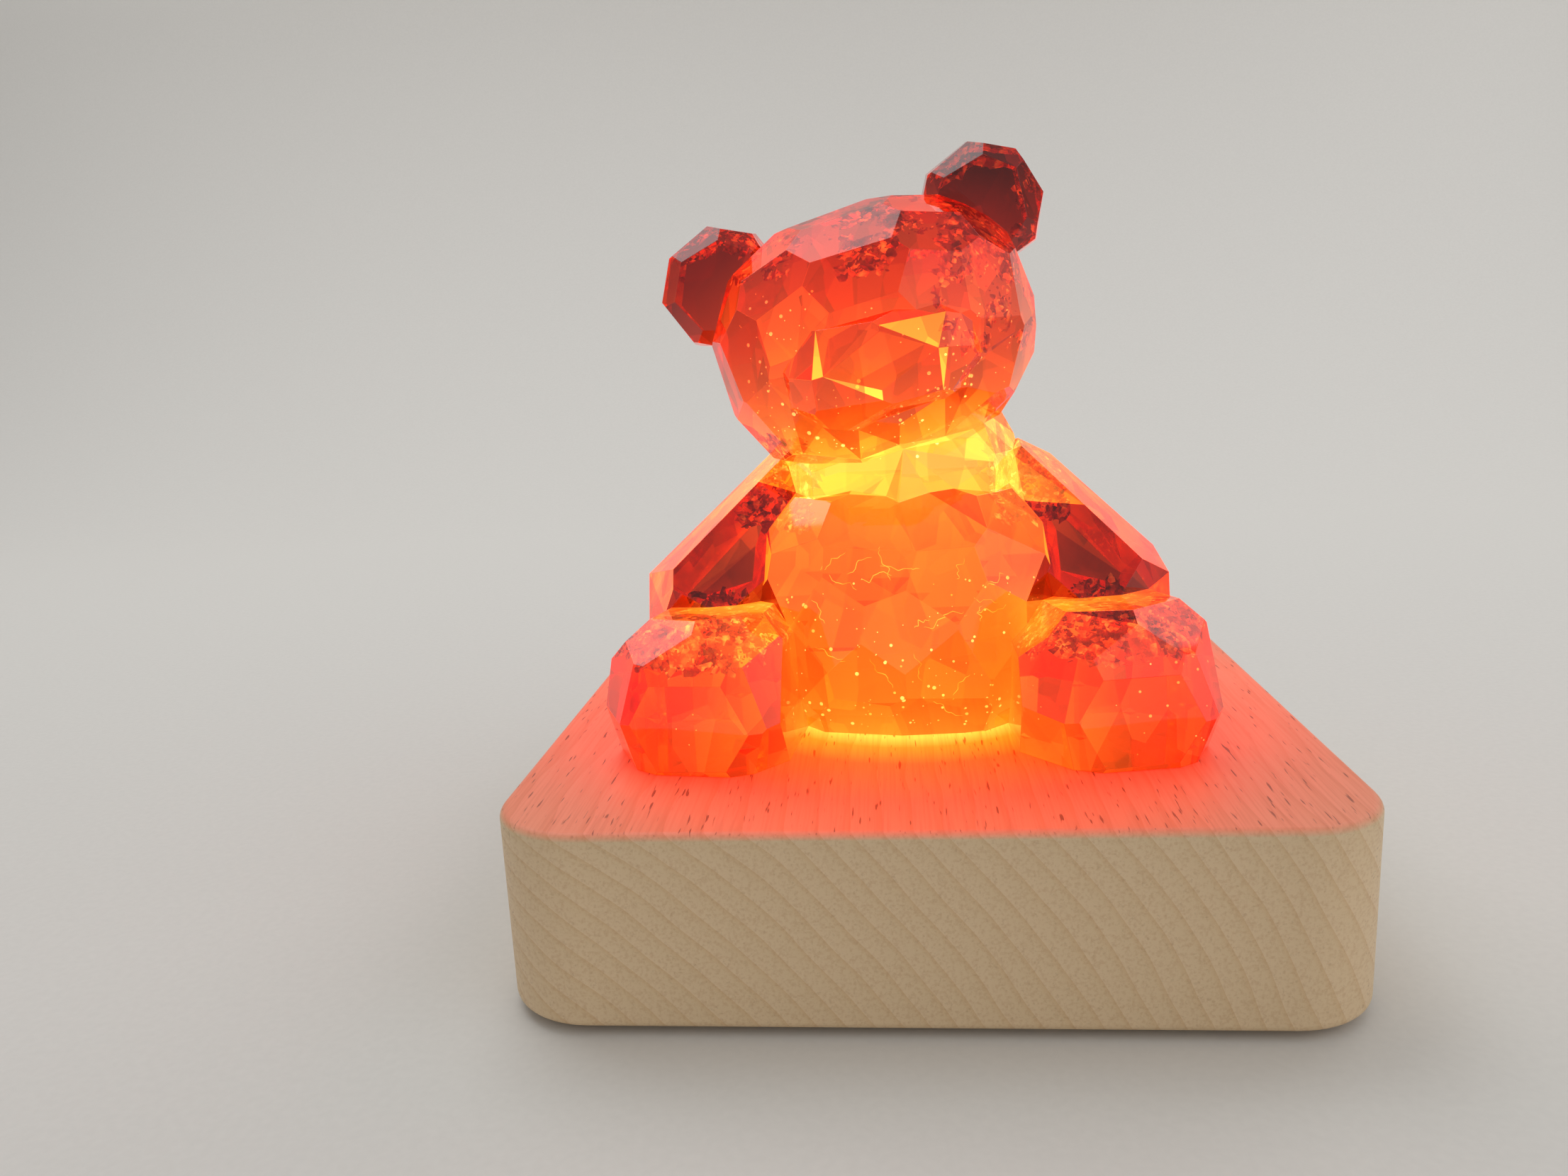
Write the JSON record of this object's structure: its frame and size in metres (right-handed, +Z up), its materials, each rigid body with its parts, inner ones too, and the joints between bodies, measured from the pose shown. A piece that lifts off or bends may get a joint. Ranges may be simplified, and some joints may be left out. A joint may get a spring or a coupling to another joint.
{
  "type": "bear night light",
  "caption": "Faceted translucent resin bear with a leaning head, seated on a rounded square wooden lamp base that lights it from below through a frosted window; rear socket and push button.",
  "frame": {"origin": "middle of the base's footprint, on the table under its rubber feet", "axes": "+Z up, the bear faces -Y, +X to the right as seen from the front; the socket and button are on the +Y side"},
  "size_m": [0.1, 0.1, 0.1003],
  "materials": {
    "beech": "fine-sanded and oiled",
    "cover_plastic": "moulded, fine texture",
    "screw_steel": "zinc plated",
    "foot_rubber": "matt",
    "frosted_acrylic": "frosted",
    "white_plastic": "moulded, satin",
    "lamp_board": "white solder mask",
    "lamp_package": "moulded",
    "lamp_phosphor": "clear gel over phosphor",
    "chip_black": "moulded, matt",
    "control_board": "green solder mask",
    "socket_steel": "bright drawn",
    "contact_brass": "plated",
    "button_plastic": "moulded, fine texture",
    "lead_red": "extruded sleeve",
    "lead_black": "extruded sleeve",
    "bear_resin": "cast and polished"
  },
  "bodies": {
    "base": {"base_block": "beech", "bottom_cover": "cover_plastic", "cover_screws": "screw_steel", "rubber_feet": "foot_rubber", "light_window": "frosted_acrylic", "reflector_ring": "white_plastic", "led_board": "lamp_board", "led_packages": "lamp_package", "led_lenses": "lamp_phosphor", "led_resistors": "chip_black", "led_board_screws": "screw_steel", "control_board": "control_board", "control_board_screws": "screw_steel", "socket_shell": "socket_steel", "socket_tongue": "chip_black", "socket_contacts": "contact_brass", "switch_housing": "chip_black", "switch_spring": "socket_steel", "driver_chip": "chip_black", "supply_lead": "lead_red", "return_lead": "lead_black"},
    "bear": {"bear_casting": "bear_resin"},
    "button": {"switch_plunger": "white_plastic", "button_cap": "button_plastic"}
  },
  "joints": [
    {"name": "bear_lift", "type": "slide", "parent": "base", "child": "bear", "axis": [0, 0, 1], "range_m": [0, 0.06]},
    {"name": "button_press", "type": "slide", "parent": "base", "child": "button", "axis": [0, -1, 0], "range_m": [0, 0.0012], "stiffness_N_per_m": 300, "deforming": ["switch_spring"]}
  ]
}
